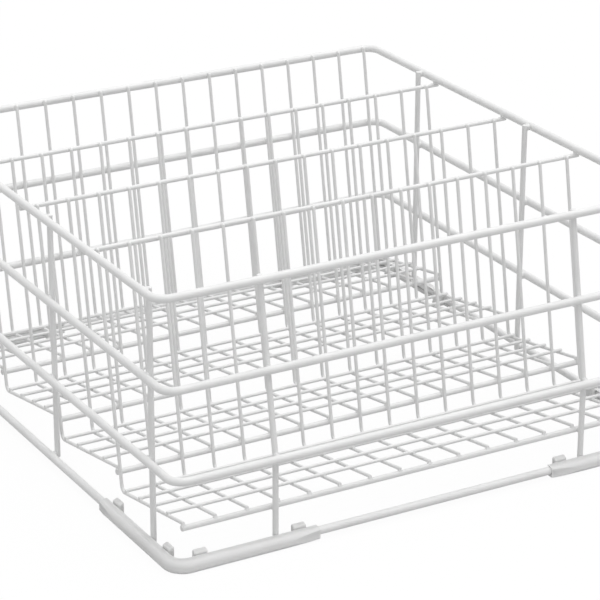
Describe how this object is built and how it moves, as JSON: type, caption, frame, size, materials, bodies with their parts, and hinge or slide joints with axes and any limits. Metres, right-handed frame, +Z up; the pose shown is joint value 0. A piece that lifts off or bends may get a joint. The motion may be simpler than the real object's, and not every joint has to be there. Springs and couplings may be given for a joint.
{
  "type": "dishwasher glass rack",
  "caption": "Square white-coated wire rack with leaning partitioned rows that hold glasses in a dishwasher, standing on plastic corner shoes.",
  "frame": {"origin": "centre of the overall box at floor level, under the shoes", "axes": "+X to the right along the front, +Y to the back, the way the rows lean, +Z up"},
  "size_m": [0.5, 0.5232, 0.2295],
  "materials": {
    "coated_wire": "smooth satin white plastic coating over steel wire",
    "shoe": "light grey moulded plastic, matte"
  },
  "bodies": {
    "root": {"base_ring": "coated_wire", "lower_ring": "coated_wire", "upper_ring": "coated_wire", "top_rim": "coated_wire", "side_upright_left_front": "coated_wire", "side_upright_left_middle": "coated_wire", "side_upright_left_back": "coated_wire", "side_upright_right_front": "coated_wire", "side_upright_right_middle": "coated_wire", "side_upright_right_back": "coated_wire", "front_upright_left": "coated_wire", "front_upright_right": "coated_wire", "row_mat_1": "coated_wire", "row_mat_2": "coated_wire", "row_mat_3": "coated_wire", "row_mat_4": "coated_wire", "floor_bar_1": "coated_wire", "floor_bar_2": "coated_wire", "floor_bar_3": "coated_wire", "floor_bar_4": "coated_wire", "divider_rail_1": "coated_wire", "divider_rail_2": "coated_wire", "divider_rail_3": "coated_wire", "corner_shoe_front_left": "shoe", "corner_shoe_front_right": "shoe", "corner_shoe_back_left": "shoe", "corner_shoe_back_right": "shoe"}
  },
  "joints": []
}
